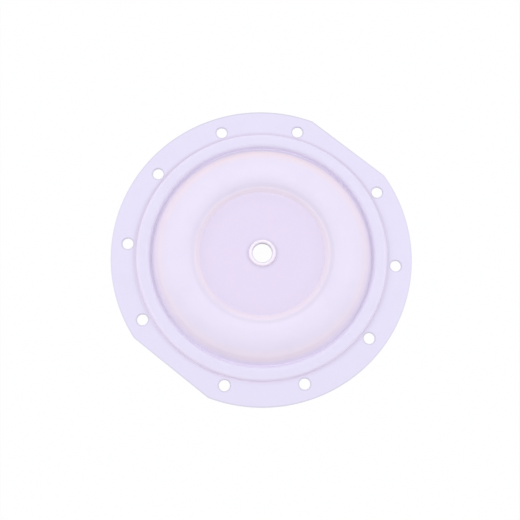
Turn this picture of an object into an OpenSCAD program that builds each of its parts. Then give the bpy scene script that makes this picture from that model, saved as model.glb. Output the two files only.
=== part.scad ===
// Moulded pump diaphragm: a thin sheet with a bolted flange, a clamping bead,
// a wide convolution and a recessed plate seat round a central rod hole.
// Millimetres, +Z up. It lies on the underside of its flange, bulge upwards.
// +X points square to the two straight sides of the flange.

/* [Flange] */
// Outside diameter of the round part of the flange
flange_d = 288; // [270:0.5:310]
// Depth that each of the two straight sides is cut in from the round
flat_cut = 7; // [3:0.1:8.5]
// Thickness of the sheet, the same from flange to seat
sheet_t = 2; // [1.5:0.1:2.4]
// Width of the flange from its edge to the foot of the bead
flange_w = 24; // [23:0.1:30]
// Distance from the flange's edge to the circle of bolt holes
hole_inset = 15.4; // [14.5:0.1:16.2]
// Diameter of a bolt hole
bolt_hole_d = 10.3; // [8:0.1:11]
// Angle between the two holes beside a straight side
flat_gap_deg = 45; // [36:0.25:54]
// Holes in each half of the circle, between one straight side and the other
holes_per_side = 5; // [3:1:6]

/* [Clamping bead] */
// Distance from the bead's outer foot to the middle of the groove inside it
bead_w = 14.2; // [13:0.1:17]
// Height of the bead above the flange
bead_h = 5; // [4.2:0.1:6]
// Slope of the bead's outer side
bead_side_deg = 82; // [70:1:86]
// Rounding where the bead leaves the flange
bead_foot_bend = 0.4; // [0.2:0.1:1]
// Rounding of the bead's outer edge
bead_edge_bend = 3.2; // [1:0.1:3.3]
// Rounding of the bead's inner edge
bead_crown_bend = 4; // [2.5:0.1:4.2]

/* [Groove] */
// Width of the groove's floor between bead and convolution
groove_w = 1; // [0.8:0.1:2]
// Slope of the groove's outer wall
groove_side_deg = 75; // [64:1:78]
// Rounding at the groove's floor
groove_bend = 0.6; // [0.3:0.1:0.6]

/* [Convolution] */
// Distance from the middle of the groove in to the outer shoulder
shoulder_in = 7; // [5.5:0.1:8.5]
// Height of the outer shoulder above the flange
shoulder_h = 7.8; // [7:0.1:9]
// Rounding of the outer shoulder
shoulder_bend = 10; // [4:0.5:12]
// Height of the crest above the flange
crest_h = 16.8; // [16:0.1:19]
// Where the crest turns down outwards, as a share of the way from ledge to shoulder
crest_outer = 0.585; // [0.5:0.005:0.65]
// Rounding of the crest's outer turn
crest_outer_bend = 33; // [15:0.5:33]
// Where the crest turns down inwards, as a share of the way from ledge to shoulder
crest_inner = 0.185; // [0.15:0.005:0.22]
// Rounding of the crest's inner turn
crest_inner_bend = 15; // [8:0.5:15]

/* [Plate seat] */
// Diameter of the rim round the sunk seat
rim_d = 125.6; // [115:0.2:130]
// Height of the rim above the flange
rim_h = 11.2; // [10.4:0.1:12]
// Width of the ledge between the rim and the convolution
ledge_w = 1.2; // [1.1:0.1:2]
// Rise of the ledge from the rim outwards
ledge_rise = 0.6; // [0.3:0.1:1]
// Distance from the rim in to the seat's flat floor
seat_in = 3.2; // [2.4:0.1:5]
// Height of the seat's floor above the flange
seat_h = 8.2; // [6.5:0.1:9]
// Rounding of the rim's edge
rim_bend = 0.6; // [0.4:0.1:1.2]
// Rounding of the corners beside the rim
seat_bend = 0.8; // [0.5:0.1:1.1]

/* [Rod hole] */
// Diameter of the rod hole
bore_d = 18.5; // [12:0.1:26]
// Width of the raised lip round the hole
lip_w = 3.3; // [2.6:0.1:6]
// Height of the lip above the seat
lip_h = 2.6; // [1.8:0.1:3.5]
// Rounding of the lip's two upper edges
lip_bend = 1.1; // [0.4:0.1:1.2]

/* [Part] */
// Which part to draw

/* [Hidden] */
SHEET_COLOR = [0.91, 0.88, 0.96];
$fn = 180;
// largest turn between two points of a rounded corner
BEND_STEP = 4;
// smallest rounding left on the underside of a sharp corner
UNDER_BEND = 0.4;
EPS = 1;

flange_r = flange_d / 2;
flat_r = flange_r - flat_cut;
bolt_circle_r = flange_r - hole_inset;
bead_r = flange_r - flange_w;
groove_r = bead_r - bead_w;
shoulder_r = groove_r - shoulder_in;
rim_r = rim_d / 2;
ledge_r = rim_r + ledge_w;
ledge_h = rim_h + ledge_rise;
seat_r = rim_r - seat_in;
bore_r = bore_d / 2;
lip_r = bore_r + lip_w;

// The two turns of the crest, eased together where the convolution is too narrow for both
span = shoulder_r - ledge_r;
outer_r = ledge_r + crest_outer * span;
inner_r = ledge_r + crest_inner * span;
outer_deg = atan2(crest_h - shoulder_h, shoulder_r - outer_r);
inner_deg = atan2(crest_h - ledge_h, inner_r - ledge_r);
turns_w = crest_outer_bend * tan(outer_deg / 2) + crest_inner_bend * tan(inner_deg / 2);
ease = min(1, 0.98 * (outer_r - inner_r) / turns_w);

// Corners of the sheet's upper face from the flange inwards: radius, height above the flange, rounding
CORNERS = [
    [flange_r, 0, 0],
    [bead_r, 0, bead_foot_bend],
    [bead_r - bead_h / tan(bead_side_deg), bead_h, bead_edge_bend],
    [groove_r + groove_w / 2 + bead_h / tan(groove_side_deg), bead_h, bead_crown_bend],
    [groove_r + groove_w / 2, 0, groove_bend],
    [groove_r - groove_w / 2, 0, groove_bend],
    [shoulder_r, shoulder_h, shoulder_bend],
    [outer_r, crest_h, crest_outer_bend * ease],
    [inner_r, crest_h, crest_inner_bend * ease],
    [ledge_r, ledge_h, seat_bend],
    [rim_r, rim_h, rim_bend],
    [seat_r, seat_h, seat_bend]
];
LIP = [
    [lip_r, seat_h, 0.4],
    [lip_r, seat_h + lip_h, lip_bend],
    [bore_r, seat_h + lip_h, lip_bend],
    [bore_r, seat_h - sheet_t, 0]
];

function spot(c) = [c[0], c[1]];
function unit(v) = v / norm(v);
function left_of(v) = [-v[1], v[0]];
function cross_z(a, b) = a[0] * b[1] - a[1] * b[0];

// One corner p between a and b, as the points of an arc that touches both sides
function rounded(a, p, b, bend) =
    let (
        u = unit(a - p),
        v = unit(b - p),
        half = acos(u * v) / 2,
        centre = p + unit(u + v) * bend / sin(half),
        start = p + u * bend / tan(half) - centre,
        turn = (180 - 2 * half) * sign(cross_z(p - a, b - p)),
        steps = max(3, ceil(abs(turn) / BEND_STEP)),
        from = atan2(start[1], start[0])
    )
    [for (k = [0 : steps]) centre + bend * [cos(from + turn * k / steps), sin(from + turn * k / steps)]];

// A line of corners with every inner corner rounded
function rounded_line(c) = [
    for (i = [0 : len(c) - 1])
        each (i == 0 || i == len(c) - 1 || c[i][2] == 0)
            ? [spot(c[i])]
            : rounded(spot(c[i - 1]), spot(c[i]), spot(c[i + 1]), c[i][2])
];

// A corner moved through the sheet to its other face, with the rounding that keeps the sheet even
function through(a, p, b) =
    let (
        d = unit(spot(p) - spot(a)),
        e = unit(spot(b) - spot(p)),
        m = left_of(d),
        n = left_of(e),
        moved = spot(p) + sheet_t * (m + n) / (1 + m * n),
        bend = p[2] - sheet_t * sign(cross_z(d, e))
    )
    [moved[0], moved[1], max(UNDER_BEND, bend)];

UPPER = concat(CORNERS, LIP);
LOWER = concat(
    [[flange_r, -sheet_t, 0]],
    [for (i = [1 : len(CORNERS) - 1]) through(UPPER[i - 1], UPPER[i], UPPER[i + 1])],
    [[bore_r, seat_h - sheet_t, 0]]
);

function reversed(list) = [for (i = [len(list) - 1 : -1 : 0]) list[i]];

// Section of the sheet: upper face inwards and down the rod hole, then the underside back out
module section() {
    under = reversed(rounded_line(LOWER));
    translate([0, sheet_t])
        polygon(concat(rounded_line(UPPER), [for (i = [1 : len(under) - 1]) under[i]]));
}

module bolt_holes() {
    for (half = [0, 180])
        for (k = [0 : holes_per_side - 1])
            rotate(half + flat_gap_deg / 2 + k * (180 - flat_gap_deg) / (holes_per_side - 1))
                translate([bolt_circle_r, 0, -EPS])
                    cylinder(d = bolt_hole_d, h = sheet_t + 2 * EPS);
}

module straight_sides() {
    for (half = [0, 180])
        rotate(half)
            translate([flat_r, -flange_r, -EPS])
                cube([flange_r, flange_d, sheet_t + 2 * EPS]);
}

module diaphragm() {
    color(SHEET_COLOR)
        difference() {
            rotate_extrude() section();
            straight_sides();
            bolt_holes();
        }
}

diaphragm();
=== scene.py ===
# %% [markdown]
# # A pump diaphragm moulded in PTFE
# The part is one thin white sheet: a bolted flange, a clamping bead, a wide rounded convolution
# that flexes with every stroke, and a sunk flat seat for the plate that grips it to the rod.
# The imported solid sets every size. This script draws the same section as a finer mesh,
# gives it a milky fluoropolymer finish and lights it as a catalogue picture would.

import math

import bmesh
import bpy
from mathutils import Matrix, Vector


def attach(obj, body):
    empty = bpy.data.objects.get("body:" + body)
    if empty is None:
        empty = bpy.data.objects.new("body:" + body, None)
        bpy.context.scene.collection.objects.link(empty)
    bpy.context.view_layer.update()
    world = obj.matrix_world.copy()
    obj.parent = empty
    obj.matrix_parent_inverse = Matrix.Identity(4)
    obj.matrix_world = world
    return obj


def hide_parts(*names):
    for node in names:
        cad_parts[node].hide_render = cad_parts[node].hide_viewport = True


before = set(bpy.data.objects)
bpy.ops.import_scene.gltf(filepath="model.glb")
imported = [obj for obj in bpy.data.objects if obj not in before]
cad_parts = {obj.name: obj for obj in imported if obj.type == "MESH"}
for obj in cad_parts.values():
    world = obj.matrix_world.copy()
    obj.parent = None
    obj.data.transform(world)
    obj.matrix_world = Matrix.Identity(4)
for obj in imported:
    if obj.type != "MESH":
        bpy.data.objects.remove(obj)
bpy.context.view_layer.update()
MM = 0.001

# %% [markdown]
# ## The camera
# The picture was taken from almost straight above, leaning about eleven degrees towards the near edge.
# A camera is easiest to state as the part's own pose in front of the lens: turn the part about its axis,
# lean it back, then push it away from the lens. The camera's matrix is the inverse of that pose.

# %% Place the camera
PICTURE_PX = 520
FOCAL_PX = 811  # the focal length in pixels of the picture
SENSOR_MM = 36
LENS_DISTANCE = 0.7766  # metres from the lens to the part
PICTURE_OFFSET = (0.00193, 0.00482)  # metres to the right of the lens axis and above it
FLAT_TURN = math.radians(51.56)  # from the picture's right to the middle of a straight side
LEAN = math.radians(-11.3)
LEAN_AXIS_TURN = math.radians(-8.76)
FLANGE_MIDDLE = 1 * MM

lean_axis = Vector((math.cos(LEAN_AXIS_TURN), math.sin(LEAN_AXIS_TURN), 0))
part_pose = (
    Matrix.Translation((*PICTURE_OFFSET, -LENS_DISTANCE))
    @ Matrix.Rotation(LEAN, 4, lean_axis)
    @ Matrix.Rotation(FLAT_TURN, 4, "Z")
    @ Matrix.Translation((0, 0, -FLANGE_MIDDLE))
)
camera_data = bpy.data.cameras.new("photo_camera")
camera_data.sensor_width = SENSOR_MM
camera_data.lens = SENSOR_MM * FOCAL_PX / PICTURE_PX
camera = bpy.data.objects.new("photo_camera", camera_data)
camera.matrix_world = part_pose.inverted()
bpy.context.collection.objects.link(camera)
bpy.context.scene.camera = camera
print("camera at", [round(v, 3) for v in camera.matrix_world.translation])
print("lens in mm:", round(camera_data.lens, 1))

# %% [markdown]
# ## The sizes of the section
# A moulded sheet is described by its cross-section. Each corner of the upper face has a radius
# from the axis, a height above the flange and a bend that rounds it off. The convolution climbs
# a steep wall to its shoulder, rolls over a wide outer bend and a tighter inner one,
# and drops to the ledge round the seat.

# %% Name the sizes in millimetres
SHEET = 2
FLANGE_R = 144
FLAT_R = FLANGE_R - 7
BOLT_CIRCLE_R = FLANGE_R - 15.4
BOLT_HOLE_R = 5.15
FLAT_GAP = 45  # degrees between the two holes beside a straight side
HOLES_PER_SIDE = 5
BEAD_R = FLANGE_R - 24
BEAD_H = 5
BEAD_SIDE = math.radians(82)
BEAD_FOOT_BEND = 0.4
BEAD_EDGE_BEND = 3.2
BEAD_CROWN_BEND = 4
GROOVE_R = BEAD_R - 14.2
GROOVE_W = 1
GROOVE_SIDE = math.radians(75)
GROOVE_BEND = 0.6
SHOULDER = Vector((GROOVE_R - 7, 7.8))
SHOULDER_BEND = 10
RIM = Vector((62.8, 11.2))
LEDGE = Vector((RIM.x + 1.2, RIM.y + 0.6))
SEAT = Vector((RIM.x - 3.2, 8.2))
SEAT_BEND = 0.8
RIM_BEND = 0.6
CREST_H = 16.8
CREST_OUTER = 0.585  # shares of the way from the ledge to the shoulder
CREST_INNER = 0.185
CREST_OUTER_BEND = 33
CREST_INNER_BEND = 15
CREST_FILL = 0.98  # the most of the crest that its two bends take up
BORE_R = 9.25
LIP_R = BORE_R + 3.3
LIP_H = 2.6
LIP_BEND = 1.1
LIP_FOOT_BEND = 0.4
UNDER_BEND = 0.4

# %% List the corners of the upper face
span = SHOULDER.x - LEDGE.x
outer_r = LEDGE.x + CREST_OUTER * span
inner_r = LEDGE.x + CREST_INNER * span
outer_slope = math.atan2(CREST_H - SHOULDER.y, SHOULDER.x - outer_r)
inner_slope = math.atan2(CREST_H - LEDGE.y, inner_r - LEDGE.x)
turns_w = CREST_OUTER_BEND * math.tan(outer_slope / 2) + CREST_INNER_BEND * math.tan(inner_slope / 2)
ease = min(1, CREST_FILL * (outer_r - inner_r) / turns_w)

upper_corners = [
    (FLANGE_R, 0, 0),
    (BEAD_R, 0, BEAD_FOOT_BEND),
    (BEAD_R - BEAD_H / math.tan(BEAD_SIDE), BEAD_H, BEAD_EDGE_BEND),
    (GROOVE_R + GROOVE_W / 2 + BEAD_H / math.tan(GROOVE_SIDE), BEAD_H, BEAD_CROWN_BEND),
    (GROOVE_R + GROOVE_W / 2, 0, GROOVE_BEND),
    (GROOVE_R - GROOVE_W / 2, 0, GROOVE_BEND),
    (SHOULDER.x, SHOULDER.y, SHOULDER_BEND),
    (outer_r, CREST_H, CREST_OUTER_BEND * ease),
    (inner_r, CREST_H, CREST_INNER_BEND * ease),
    (LEDGE.x, LEDGE.y, SEAT_BEND),
    (RIM.x, RIM.y, RIM_BEND),
    (SEAT.x, SEAT.y, SEAT_BEND),
]
lip_corners = [
    (LIP_R, SEAT.y, LIP_FOOT_BEND),
    (LIP_R, SEAT.y + LIP_H, LIP_BEND),
    (BORE_R, SEAT.y + LIP_H, LIP_BEND),
    (BORE_R, SEAT.y, 0),
]
print("crest from", round(inner_r, 1), "to", round(outer_r, 1), "with its bends eased to", round(ease, 2))


# %% [markdown]
# ## The underside
# Because the sheet is formed from an even thickness, its underside is the upper face moved
# through the sheet. Moving a corner along both of its sides' normals keeps the thickness
# on the straights, and a bend loses or gains the sheet's thickness depending on which way it turns.

# %% Move the upper corners through the sheet
def through_sheet(before, corner, after):
    """A corner of the upper face moved to the underside, with its bend."""
    toward = (Vector(corner[:2]) - Vector(before[:2])).normalized()
    away = (Vector(after[:2]) - Vector(corner[:2])).normalized()
    normal_in = toward.orthogonal()
    normal_out = away.orthogonal()
    moved = Vector(corner[:2]) + SHEET * (normal_in + normal_out) / (1 + normal_in.dot(normal_out))
    downward_turn = 1 if toward.cross(away) > 0 else -1
    return (moved.x, moved.y, max(UNDER_BEND, corner[2] - SHEET * downward_turn))


all_upper = upper_corners + lip_corners
lower_corners = [(FLANGE_R, -SHEET, 0)]
for number in range(1, len(upper_corners)):
    lower_corners.append(through_sheet(*all_upper[number - 1 : number + 2]))
lower_corners.append((BORE_R, SEAT.y - SHEET, 0))
print("corners above", len(all_upper), "and below", len(lower_corners))

# %% [markdown]
# ## Drawing the section with a pen
# Two moves draw any profile of straights and bends: extrude the last vertex along a straight,
# or spin it about a bend's centre. Straights get a short first and last step,
# which holds the shading flat right up to the bend.

# %% Teach the pen its two moves
BEND_STEP = math.radians(5)
FEWEST_BEND_STEPS = 4
HOLD = 0.6  # millimetres from the end of a straight to its holding step


def line_to(bm, pen, place):
    """Extrudes the pen's vertex along a straight, with a holding step near each end."""
    start = pen.co.copy()
    run = place - start
    stops = [1.0]
    if run.length > 4 * HOLD * MM:
        hold = HOLD * MM / run.length
        stops = [hold, 1 - hold, 1.0]
    for stop in stops:
        grown = bmesh.ops.extrude_vert_indiv(bm, verts=[pen])
        pen = grown["verts"][0]
        pen.co = start + run * stop
    return pen


def bend_round(bm, pen, centre, turn):
    """Spins the pen's vertex about a bend's centre."""
    steps = max(FEWEST_BEND_STEPS, math.ceil(abs(turn) / BEND_STEP))
    spun = bmesh.ops.spin(bm, geom=[pen], cent=centre, axis=(0, -1, 0), angle=turn, steps=steps)
    return [item for item in spun["geom_last"] if isinstance(item, bmesh.types.BMVert)][0]


print("a bend takes", FEWEST_BEND_STEPS, "steps or more, of", math.degrees(BEND_STEP), "degrees at most")


# %% Draw both faces and close the section
def section_point(radius, height):
    """A place in the section's plane, in metres, with the flange's underside at zero."""
    return Vector((radius, 0, height + SHEET)) * MM


def draw_face(bm, corners):
    """Draws one face of the sheet from the flange inwards and returns its first and last vertex."""
    first = bm.verts.new(section_point(*corners[0][:2]))
    pen = first
    for before, corner, after in zip(corners, corners[1:], corners[2:]):
        place = section_point(*corner[:2])
        toward = (place - section_point(*before[:2])).normalized()
        away = (section_point(*after[:2]) - place).normalized()
        turn = math.atan2(toward.x * away.z - toward.z * away.x, toward.dot(away))
        bend = corner[2] * MM
        pen = line_to(bm, pen, place - toward * bend * math.tan(abs(turn) / 2))
        side = Vector((-toward.z, 0, toward.x)) * math.copysign(bend, turn)
        pen = bend_round(bm, pen, pen.co + side, turn)
    pen = line_to(bm, pen, section_point(*corners[-1][:2]))
    return first, pen


sheet_mesh = bmesh.new()
upper_first, upper_last = draw_face(sheet_mesh, all_upper)
lower_first, lower_last = draw_face(sheet_mesh, lower_corners)
sheet_mesh.edges.new((upper_first, lower_first))
sheet_mesh.edges.new((upper_last, lower_last))
print("section vertices:", len(sheet_mesh.verts))

# %% [markdown]
# ## Spinning the sheet
# One full spin about the axis turns the section into the whole sheet, and merging the last step
# with the first closes it. The die then trims two straight sides, which is a cut by a plane
# and a fill across the cut.

# %% Spin the section and trim the straight sides
SPIN_STEPS = 240
MERGE_GAP = 0.001 * MM

bmesh.ops.spin(
    sheet_mesh,
    geom=sheet_mesh.verts[:] + sheet_mesh.edges[:],
    cent=(0, 0, 0),
    axis=(0, 0, 1),
    angle=2 * math.pi,
    steps=SPIN_STEPS,
    use_merge=True,
)
bmesh.ops.remove_doubles(sheet_mesh, verts=sheet_mesh.verts[:], dist=MERGE_GAP)
for side in (1, -1):
    cut = bmesh.ops.bisect_plane(
        sheet_mesh,
        geom=sheet_mesh.verts[:] + sheet_mesh.edges[:] + sheet_mesh.faces[:],
        plane_co=(side * FLAT_R * MM, 0, 0),
        plane_no=(side, 0, 0),
        clear_outer=True,
    )
    cut_edges = [item for item in cut["geom_cut"] if isinstance(item, bmesh.types.BMEdge)]
    bmesh.ops.holes_fill(sheet_mesh, edges=cut_edges, sides=0)
bmesh.ops.recalc_face_normals(sheet_mesh, faces=sheet_mesh.faces[:])
sheet_data = bpy.data.meshes.new("diaphragm_sheet")
sheet_mesh.to_mesh(sheet_data)
sheet_mesh.free()
sheet = bpy.data.objects.new("diaphragm_sheet", sheet_data)
bpy.context.collection.objects.link(sheet)
print("faces after the spin:", len(sheet_data.polygons))

# %% [markdown]
# ## Punching the bolt holes
# The holes are punched through the flange, five in each half, with a wider gap at each straight side.
# A punch drags the sheet's edge down a little as it goes in. The cutter shows that as a flare:
# its end face is extruded a few times, and each time it is raised and made wider.
# A Boolean then takes all ten cutters away from the sheet.

# %% Make the punches
HOLE_SIDES = 48
FIRST_HOLE = math.radians(FLAT_GAP / 2)
HOLE_PITCH = math.radians((180 - FLAT_GAP) / (HOLES_PER_SIDE - 1))
ROLLOVER = 1.3  # the bend of the flare, in millimetres
ROLLOVER_DEPTH = 0.8 * ROLLOVER  # where the flare starts, below the upper face
FLARE_TURN = math.radians(65)
FLARE_STEPS = 4


def flared_punch(bm, centre):
    """A round punch that starts to flare a little below the sheet's upper face."""
    made = bmesh.ops.create_cone(
        bm,
        cap_ends=True,
        segments=HOLE_SIDES,
        radius1=BOLT_HOLE_R * MM,
        radius2=BOLT_HOLE_R * MM,
        depth=2 * SHEET * MM,
        matrix=Matrix.Translation(centre - Vector((0, 0, ROLLOVER_DEPTH * MM))),
    )
    faces = {face for vert in made["verts"] for face in vert.link_faces}
    end_face = max(faces, key=lambda face: face.calc_center_median().z)
    reach = BOLT_HOLE_R
    rise = 0
    for step in range(1, FLARE_STEPS + 1):
        turn = FLARE_TURN * step / FLARE_STEPS
        next_reach = BOLT_HOLE_R + ROLLOVER * (1 - math.cos(turn))
        next_rise = ROLLOVER * math.sin(turn)
        wider = next_reach / reach
        end_face = bmesh.ops.extrude_discrete_faces(bm, faces=[end_face])["faces"][0]
        ring = end_face.verts[:]
        bmesh.ops.translate(bm, verts=ring, vec=(0, 0, (next_rise - rise) * MM))
        bmesh.ops.scale(bm, verts=ring, vec=(wider, wider, 1), space=Matrix.Translation(-centre))
        reach = next_reach
        rise = next_rise


punch_mesh = bmesh.new()
for half in (0, math.pi):
    for number in range(HOLES_PER_SIDE):
        hole_angle = half + FIRST_HOLE + number * HOLE_PITCH
        flared_punch(punch_mesh, Matrix.Rotation(hole_angle, 3, "Z") @ Vector((BOLT_CIRCLE_R, 0, 0)) * MM)
bmesh.ops.recalc_face_normals(punch_mesh, faces=punch_mesh.faces[:])
punch_data = bpy.data.meshes.new("hole_punch")
punch_mesh.to_mesh(punch_data)
punch_mesh.free()
punch = bpy.data.objects.new("hole_punch", punch_data)
bpy.context.collection.objects.link(punch)
print("faces on the punches:", len(punch_data.polygons))

# %% Take the punches away from the sheet
punching = sheet.modifiers.new("bolt_holes", "BOOLEAN")
punching.object = punch
punching.solver = "EXACT"
seen = sheet.evaluated_get(bpy.context.evaluated_depsgraph_get())
punched = bpy.data.meshes.new_from_object(seen)
sheet.modifiers.clear()
sheet.data = punched
punched.name = "diaphragm_sheet"
bpy.data.objects.remove(punch)
bpy.data.meshes.remove(sheet_data)
print("faces after punching:", len(punched.polygons))

# %% [markdown]
# ## Cleaning up after the cut
# Where a punch meets the sheet's own edges, the Boolean can leave edges so short that a face on them
# has no area. Dissolving those keeps the mesh sound. Smooth shading then needs to know where to stop:
# an edge that turns by more than a set angle is marked sharp, so the flange looks flat up to its holes.

# %% Clean the mesh, set its shading and hand it to the frame
SHORTEST_EDGE = 0.01 * MM
SHARP_TURN = math.radians(25)

cleaned = bmesh.new()
cleaned.from_mesh(punched)
bmesh.ops.dissolve_degenerate(cleaned, dist=SHORTEST_EDGE, edges=cleaned.edges[:])
cleaned.to_mesh(punched)
cleaned.free()
punched.shade_smooth()
punched.set_sharp_from_angle(angle=SHARP_TURN)
print("faces after cleaning:", len(punched.polygons))

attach(sheet, "root")
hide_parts("diaphragm")


# %% [markdown]
# ## Nodes that read like sums
# A finish is a small network of nodes. Wrapping a socket in a class whose operators add Math nodes
# lets the network be written as arithmetic, and one method makes every other kind of node.
# A world has nodes of the same kind, so the light can use the same kit.

# %% A small kit for finishes
class Wire:
    """One output socket; arithmetic on it adds Math nodes to the same network."""

    def __init__(self, finish, socket):
        self.finish = finish
        self.socket = socket

    def _math(self, operation, first, second):
        return self.finish.wire("Math", {"operation": operation}, {0: first, 1: second})

    def __add__(self, other):
        return self._math("ADD", self, other)

    def __radd__(self, other):
        return self._math("ADD", other, self)

    def __sub__(self, other):
        return self._math("SUBTRACT", self, other)

    def __rsub__(self, other):
        return self._math("SUBTRACT", other, self)

    def __mul__(self, other):
        return self._math("MULTIPLY", self, other)

    def __rmul__(self, other):
        return self._math("MULTIPLY", other, self)

    def __truediv__(self, other):
        return self._math("DIVIDE", self, other)

    def __pow__(self, other):
        return self._math("POWER", self, other)


class Finish:
    """The nodes of a material or a world, added one by one."""

    def __init__(self, owner):
        owner.use_nodes = True
        self.owner = owner
        self.tree = owner.node_tree
        self.tree.nodes.clear()

    def node(self, kind, settings=None, sockets=None):
        """Adds a node: its settings first, then a value or a wire for each socket."""
        made = self.tree.nodes.new("ShaderNode" + kind)
        for name, value in (settings or {}).items():
            setattr(made, name, value)
        for name, value in (sockets or {}).items():
            if isinstance(value, Wire):
                self.tree.links.new(value.socket, made.inputs[name])
            else:
                made.inputs[name].default_value = value
        return made

    def wire(self, kind, settings=None, sockets=None, output=0):
        """Adds a node and returns one of its outputs."""
        return Wire(self, self.node(kind, settings, sockets).outputs[output])

    def mixed(self, share, first, second):
        """A colour between two colours."""
        return self.wire("Mix", {"data_type": "RGBA"}, {0: share, 6: first, 7: second}, output=2)

    def ramp(self, value, low, high):
        """Nought below low, one above high, and a smooth rise between them."""
        spread = {0: value, 1: low, 2: high, 3: 0.0, 4: 1.0}
        return self.wire("MapRange", {"interpolation_type": "SMOOTHSTEP"}, spread)

    def band(self, value, rise, fall):
        """One between two slopes and nought outside them; each slope is given by its start and end."""
        return self.ramp(value, *rise) * (1.0 - self.ramp(value, *fall))


# %% [markdown]
# ## The PTFE finish
# Moulded PTFE is a milky white with a soft sheen. In the picture it has a cool lavender tint:
# bluer on the flange and bead and pinker on the convolution. Painted highlights make the lip,
# the seat's rim and the bead's outer edge paler. Painted shade darkens the creases, the ledge, the border
# of the seat and the rolled rims of the bolt holes, and the trimmed edges are a little darker. Nearly all
# of this follows the rings of the section, so the finish is built in layers: each is a tone and a band of
# radius with soft ends.

# %% Name the tones
def tint(red, green, blue):
    """A display colour from 0 to 255, turned into the linear values that a shader takes."""
    values = []
    for level in (red, green, blue):
        part = level / 255
        values.append(part / 12.92 if part <= 0.04045 else ((part + 0.055) / 1.055) ** 2.4)
    return (*values, 1.0)


COOL_WHITE = tint(231, 226, 242)
WARM_WHITE = tint(237, 229, 243)
ROSE_WHITE = tint(244, 227, 231)
SEAT_WHITE = tint(232, 221, 239)
SEAT_SHADE = tint(228, 218, 235)
# The rim, lip and bead-edge colours are painted highlights. The ledge, crease and hole-rim colours are
# painted shade.
RIM_HIGHLIGHT = tint(242, 229, 236)
LEDGE_SHADE = tint(228, 220, 230)
LIP_HIGHLIGHT = tint(251, 243, 248)
BEAD_EDGE_HIGHLIGHT = tint(246, 235, 248)
CREASE_SHADE = tint(218, 210, 225)
EDGE_TONE = tint(208, 206, 212)
HOLE_RIM_SHADE = tint(207, 200, 211)
CLOUD = tint(229, 220, 238)
print("the flange's white as a shader takes it:", [round(v, 3) for v in COOL_WHITE[:3]])

# %% [markdown]
# ## Finding a place on the sheet
# Object coordinates give the place in metres. Two squares and a root make the radius,
# and the angle round the axis finds the nearest bolt hole: take it past the half's first hole,
# snap it to the holes' pitch, and what is left over is the angle from that hole.

# %% Measure the radius and the distance from the nearest hole
ptfe = Finish(bpy.data.materials.new("ptfe"))
place = Wire(ptfe, ptfe.node("TexCoord").outputs["Object"])
parts = ptfe.node("SeparateXYZ", {}, {0: place})
across, along, height = (Wire(ptfe, part) / MM for part in parts.outputs)
radius = (across * across + along * along) ** 0.5

angle = ptfe.wire("Math", {"operation": "ARCTAN2"}, {0: along, 1: across})
in_half = ptfe.wire("Math", {"operation": "FLOORED_MODULO"}, {0: angle, 1: math.pi})
past_first = in_half - FIRST_HOLE
snapped = ptfe.wire("Math", {"operation": "SNAP"}, {0: past_first + HOLE_PITCH / 2, 1: HOLE_PITCH})
off_angle = past_first - snapped
off_side = radius * ptfe.wire("Math", {"operation": "SINE"}, {0: off_angle})
off_out = radius * ptfe.wire("Math", {"operation": "COSINE"}, {0: off_angle}) - BOLT_CIRCLE_R
from_hole = (off_side * off_side + off_out * off_out) ** 0.5
print("nodes that measure:", len(ptfe.tree.nodes))

# %% [markdown]
# ## The rings and edges that take a tone
# A band is one on its ring and fades to nought on both sides of it, over lengths in millimetres
# that were set by comparing renders with the picture. The trimmed edge is round or straight,
# and a place near either one counts. The painted shade at a bolt hole lies on its rolled upper edge,
# which the height tells from the wall below.

# %% Mark the rings and edges
inside_groove = 1.0 - ptfe.ramp(radius, GROOVE_R - 2, GROOVE_R + 3)
seat = 1.0 - ptfe.ramp(radius, SEAT.x - 1.6, RIM.x)
seat_border = ptfe.band(radius, (SEAT.x - 16, SEAT.x - 2), (SEAT.x - 0.6, SEAT.x + 1.4))
# painted highlight: the seat's rim is made paler where its edge catches the light
rim = ptfe.band(radius, (SEAT.x - 0.8, SEAT.x + 0.6), (RIM.x, LEDGE.x + 1))
ledge = ptfe.band(radius, (LEDGE.x, LEDGE.x + 1.4), (LEDGE.x + 2.4, LEDGE.x + 5))
shoulder = ptfe.band(radius, (SHOULDER.x - 9, SHOULDER.x + 1), (SHOULDER.x + 2, SHOULDER.x + 5))
# painted shade in the creases: at the groove, at the foot of the bead and of the lip, and on the bore's edge;
# at the groove and the bead it is heavier towards the far side
groove_foot_shade = ptfe.band(radius, (GROOVE_R - 4.6, GROOVE_R - 2.4), (GROOVE_R - 1.2, GROOVE_R))
# painted highlight on the bead's outer edge, stronger towards the left and the near side, where the light
# catches it
bead_edge_highlight = ptfe.band(radius, (BEAD_R - 4, BEAD_R - 1.5), (BEAD_R + 1, BEAD_R + 3))
bead_foot_shade = ptfe.band(radius, (BEAD_R - 0.4, BEAD_R + 0.4), (BEAD_R + 1.2, BEAD_R + 4.4))
# painted highlight: the lip is made paler, as a thin raised rim that catches the light all round
lip = 1.0 - ptfe.ramp(radius, LIP_R - 0.2, LIP_R + 0.6)
lip_foot_shade = ptfe.band(radius, (LIP_R, LIP_R + 0.7), (LIP_R + 1.2, LIP_R + 4))
bore_edge_shade = 1.0 - ptfe.ramp(radius, BORE_R + 0.5, BORE_R + 1.6)

round_edge = ptfe.ramp(radius, FLANGE_R - 1.7, FLANGE_R - 0.6)
straight_edge = ptfe.ramp(across * across, (FLAT_R - 1.7) ** 2, (FLAT_R - 0.6) ** 2)
trimmed_edge = ptfe.ramp(round_edge + straight_edge, 0.0, 1.0)
near_hole = 1.0 - ptfe.ramp(from_hole, BOLT_HOLE_R + 0.6, BOLT_HOLE_R + 1.8)
# painted shade on the rolled upper edge of each bolt hole
hole_rim_shade = near_hole * ptfe.ramp(height, 0.5 * SHEET, 0.8 * SHEET)
print("nodes with the rings and edges:", len(ptfe.tree.nodes))

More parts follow.
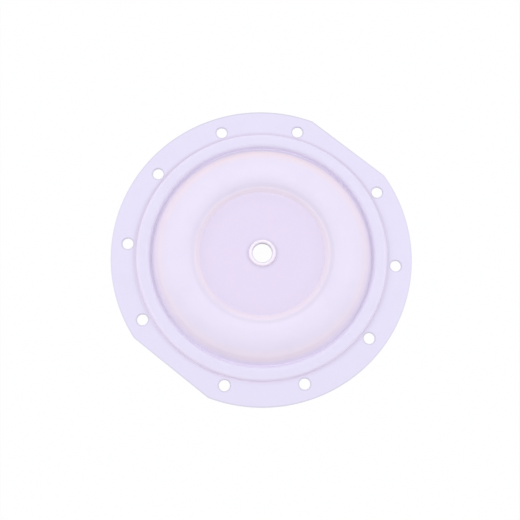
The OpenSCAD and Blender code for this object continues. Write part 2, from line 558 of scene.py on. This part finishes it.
# %% [markdown]
# ## Laying the tones
# Each tone is mixed over the ones before it, by its ring and a strength. Some tones are stronger on one side
# of the part, as it lies in the picture. For the painted shade and highlights, that side is set by where
# the light falls. Two wires say which way a place lies from the axis:

# %% Lay the tones in layers
to_far = (math.sin(FLAT_TURN) * across + math.cos(FLAT_TURN) * along) / radius
to_left = (math.sin(FLAT_TURN) * along - math.cos(FLAT_TURN) * across) / radius
far_or_near = to_far * to_far

layers = [
    (inside_groove, WARM_WHITE),
    (seat, SEAT_WHITE),
    (seat_border * 0.75, SEAT_SHADE),
    (shoulder * (0.4 + 0.2 * to_far + 0.3 * far_or_near), ROSE_WHITE),
    (groove_foot_shade * (0.4 + 0.32 * to_far), CREASE_SHADE),
    (rim * 0.7, RIM_HIGHLIGHT),
    (ledge * (0.4 - 0.15 * (to_far + to_left)), LEDGE_SHADE),
    (lip, LIP_HIGHLIGHT),
    (lip_foot_shade * 0.65, CREASE_SHADE),
    (bore_edge_shade * 0.55, CREASE_SHADE),
    (bead_edge_highlight * (0.4 + 0.14 * (to_left - to_far)), BEAD_EDGE_HIGHLIGHT),
    (bead_foot_shade * (0.5 + 0.4 * to_far), CREASE_SHADE),
    (trimmed_edge * (0.2 + 0.5 * far_or_near), EDGE_TONE),
    (hole_rim_shade * 0.55, HOLE_RIM_SHADE),
]
tone = COOL_WHITE
for share, colour in layers:
    tone = ptfe.mixed(share, tone, colour)
print("tones laid over the first:", len(layers))

# %% [markdown]
# ## Clouds, grain and sheen
# Faint cloudy patches break up the tone, and a fine grain gives the sheet the satin of a moulded face.
# Light goes a little way into PTFE before it scatters out, so a trace of subsurface scattering softens it.

# %% Make the shader
CLOUDINESS = 0.25

clouds = ptfe.wire("TexNoise", {}, {"Vector": place, "Scale": 42.0, "Detail": 3.0, "Roughness": 0.55})
grain = ptfe.wire("TexNoise", {}, {"Vector": place, "Scale": 900.0, "Detail": 2.0, "Roughness": 0.5})
cloudy_tone = ptfe.mixed(ptfe.ramp(clouds, 0.45, 0.75) * CLOUDINESS, tone, CLOUD)
relief = ptfe.wire("Bump", {}, {"Strength": 0.12, "Distance": 0.4 * MM, "Height": grain})
surface = ptfe.wire(
    "BsdfPrincipled",
    {},
    {
        "Base Color": cloudy_tone,
        "Roughness": 0.42 + 0.1 * clouds,
        "IOR": 1.38,
        "Subsurface Weight": 0.05,
        "Subsurface Radius": (4 * MM, 4 * MM, 5 * MM),
        "Subsurface Scale": 0.5,
        "Normal": relief,
    },
)
ptfe.node("OutputMaterial", {}, {"Surface": surface})
sheet.data.materials.clear()
sheet.data.materials.append(ptfe.owner)
print("finish nodes:", len(ptfe.tree.nodes))

# %% [markdown]
# ## The floor
# The part lies on a plain white floor, set a hair below it so that their faces never share a plane.
# The camera sees the floor as nearly pure white, as in a cut-out picture, and a trace of the lit paper
# is left in to keep the part's shadow. A Light Path node tells the rays apart: what the camera sees,
# also in a gloss or through a clear wall, is the white, and what the light falls on is the paper.

# %% Lay the floor
FLOOR_SIZE = 8
FLOOR_GLOW = 0.98
FLOOR_GAP = 0.2 * MM
PAPER = tint(240, 240, 242)
WHITE = (1, 1, 1, 1)
SEEN_RAYS = ("Is Camera Ray", "Is Glossy Ray", "Is Transmission Ray")


def seen_share(finish):
    """One for what the camera sees, also in a gloss or through a clear wall, and nought for other rays."""
    path = finish.node("LightPath")
    direct, in_gloss, through = (Wire(finish, path.outputs[name]) for name in SEEN_RAYS)
    return direct + in_gloss + through


floor_mesh = bmesh.new()
bmesh.ops.create_grid(floor_mesh, x_segments=1, y_segments=1, size=FLOOR_SIZE / 2)
bmesh.ops.translate(floor_mesh, verts=floor_mesh.verts[:], vec=(0, 0, -FLOOR_GAP))
floor_data = bpy.data.meshes.new("floor")
floor_mesh.to_mesh(floor_data)
floor_mesh.free()
floor = bpy.data.objects.new("floor", floor_data)
bpy.context.collection.objects.link(floor)

paper = Finish(bpy.data.materials.new("white_floor"))
lit = paper.wire("BsdfDiffuse", {}, {"Color": PAPER})
glow = paper.wire("Emission", {}, {"Color": WHITE, "Strength": 1.0})
floor_look = paper.wire("MixShader", {}, {0: FLOOR_GLOW * seen_share(paper), 1: lit, 2: glow})
paper.node("OutputMaterial", {}, {"Surface": floor_look})
floor.data.materials.append(paper.owner)
print("floor of", FLOOR_SIZE, "m,", round(FLOOR_GAP / MM, 2), "mm below the part")

# %% [markdown]
# ## The light
# Most of the light comes from an even sky, which keeps a white part soft. Three square lamps give it form:
# a wide one beyond the picture's top edge and a smaller one on each side. They are placed along the picture's
# own right, top and lens directions, which the camera's matrix holds, and each is turned to face the part.

# %% Hang the lamps and light the sky
LIGHT_TINT = (0.936, 0.936, 1.0, 1.0)
SKY_POWER = 0.747
to_right, to_top, to_lens = (camera.matrix_world.to_3x3().col[axis] for axis in range(3))


def soft_lamp(name, right, top, lens, size, power):
    """A square lamp placed by the picture's own directions, aimed at the part."""
    data = bpy.data.lights.new(name, "AREA")
    data.size = size
    data.energy = power
    data.color = LIGHT_TINT[:3]
    lamp = bpy.data.objects.new(name, data)
    lamp.location = to_right * right + to_top * top + to_lens * lens
    lamp.rotation_euler = lamp.location.to_track_quat("Z", "Y").to_euler()
    bpy.context.collection.objects.link(lamp)
    print(name, "of", power, "W at", [round(v, 2) for v in lamp.location])


soft_lamp("top_softbox", right=-0.2, top=3, lens=2.6, size=1.8, power=18)
soft_lamp("left_softbox", right=-1.5, top=0.35, lens=1.2, size=0.9, power=7.3)
soft_lamp("right_softbox", right=1.5, top=0.25, lens=1.2, size=0.9, power=7.6)

sky = Finish(bpy.data.worlds.new("studio"))
sky_light = sky.wire("Background", {}, {"Color": LIGHT_TINT, "Strength": SKY_POWER})
white_sky = sky.wire("Background", {}, {"Color": WHITE, "Strength": 1.0})
sky_look = sky.wire("MixShader", {}, {0: seen_share(sky), 1: sky_light, 2: white_sky})
sky.node("OutputWorld", {}, {"Surface": sky_look})
bpy.context.scene.world = sky.owner
bpy.context.scene.view_settings.view_transform = "Standard"
